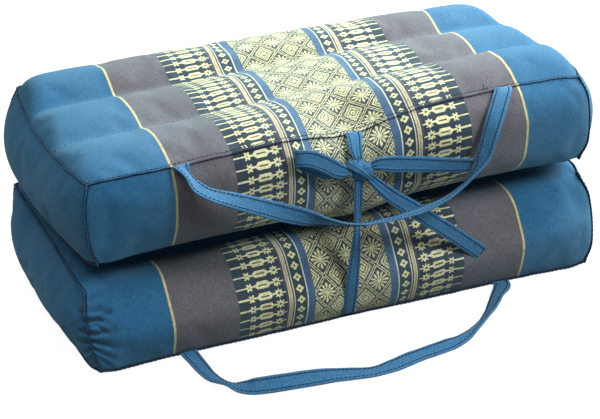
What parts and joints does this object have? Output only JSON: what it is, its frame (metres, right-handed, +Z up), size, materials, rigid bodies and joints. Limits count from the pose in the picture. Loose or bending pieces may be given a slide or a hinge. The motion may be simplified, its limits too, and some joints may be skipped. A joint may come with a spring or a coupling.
{
  "type": "folding yoga block cushion",
  "caption": "Filled yoga block cushion in two hinged halves folded one on the other, with sewn channels, stitched strap handles and a ribbon tied in a half bow across the front.",
  "frame": {"origin": "under the middle of the lower block, on its flat underside", "axes": "+X along the blocks to the right, -Y towards the front with the handles and the bow, +Z up"},
  "size_m": [0.4343, 0.291, 0.1718],
  "materials": {
    "panel_cloth": "matte woven cotton with a brocade band",
    "strap_cloth": "matte woven cotton, folded and topstitched"
  },
  "bodies": {
    "root": {"block_lower": "panel_cloth", "block_upper": "panel_cloth", "hinge_strip": "panel_cloth", "handle_lower": "strap_cloth", "handle_upper": "strap_cloth", "tie_lower": "strap_cloth", "tie_upper": "strap_cloth", "bow_knot": "strap_cloth", "bow_loop": "strap_cloth", "tail_right": "strap_cloth", "tail_diagonal": "strap_cloth"}
  },
  "joints": []
}
